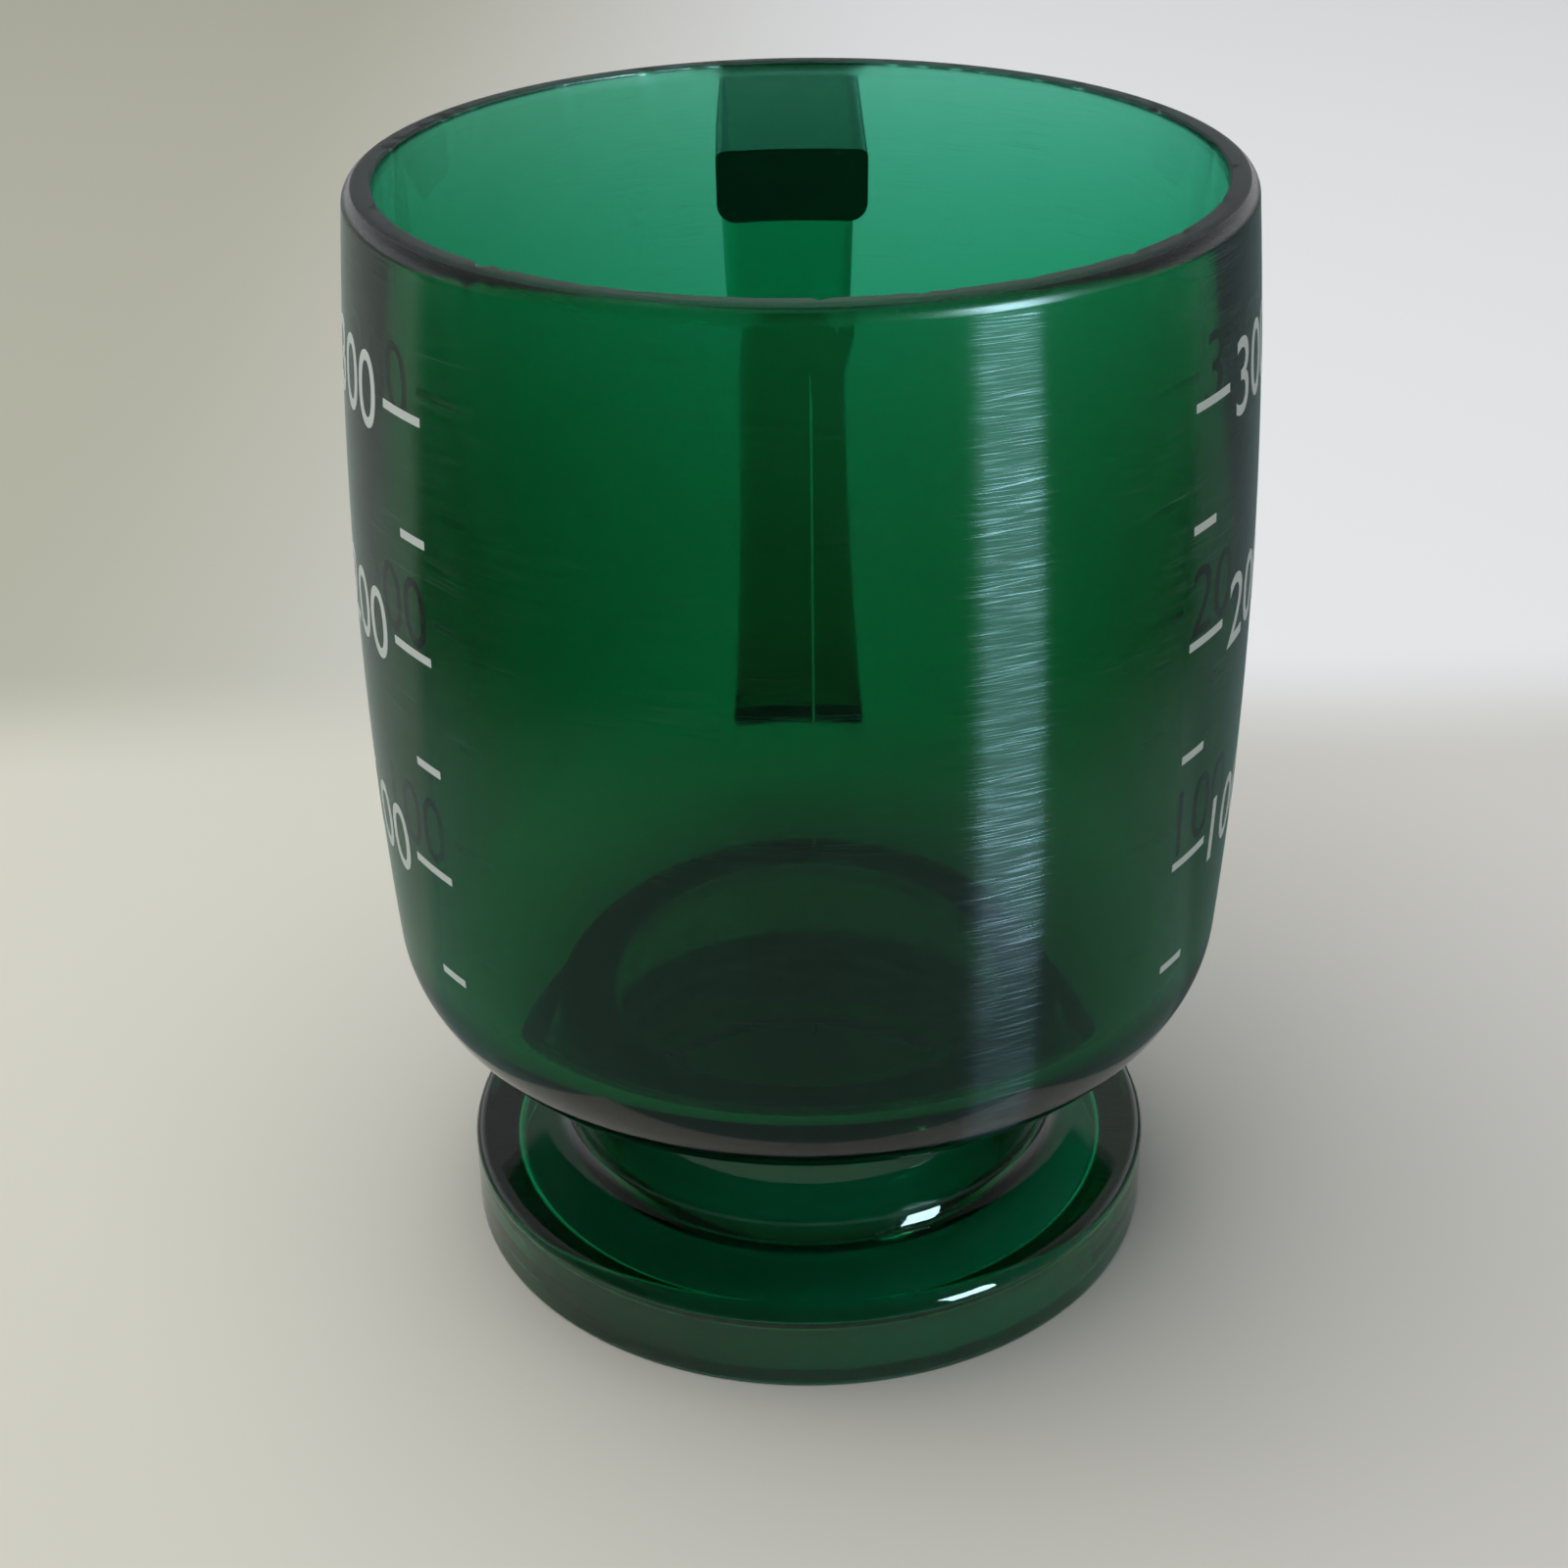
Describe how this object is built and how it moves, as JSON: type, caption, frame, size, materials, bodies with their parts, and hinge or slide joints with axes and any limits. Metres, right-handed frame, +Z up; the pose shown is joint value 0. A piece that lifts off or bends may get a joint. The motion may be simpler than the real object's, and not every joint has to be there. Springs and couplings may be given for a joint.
{
  "type": "pedestal mug",
  "caption": "Rigid see-through drinking mug with a slightly barrelled wall, a strap handle that sweeps in to the wall at its lower end, and a round pedestal foot that is hollow from below.",
  "frame": {"origin": "on the cup's axis, in the plane that the foot stands on", "axes": "+Z up along the cup's axis, +Y from the axis towards the handle, X across the handle"},
  "size_m": [0.0862, 0.1226, 0.112],
  "materials": {
    "clear_green_plastic": "polished, with fine scratches round the side; the lip is ground matt",
    "white_ink": "screen-printed ink"
  },
  "bodies": {
    "root": {"bowl": "clear_green_plastic", "pedestal_foot": "clear_green_plastic", "handle": "clear_green_plastic"}
  },
  "joints": []
}
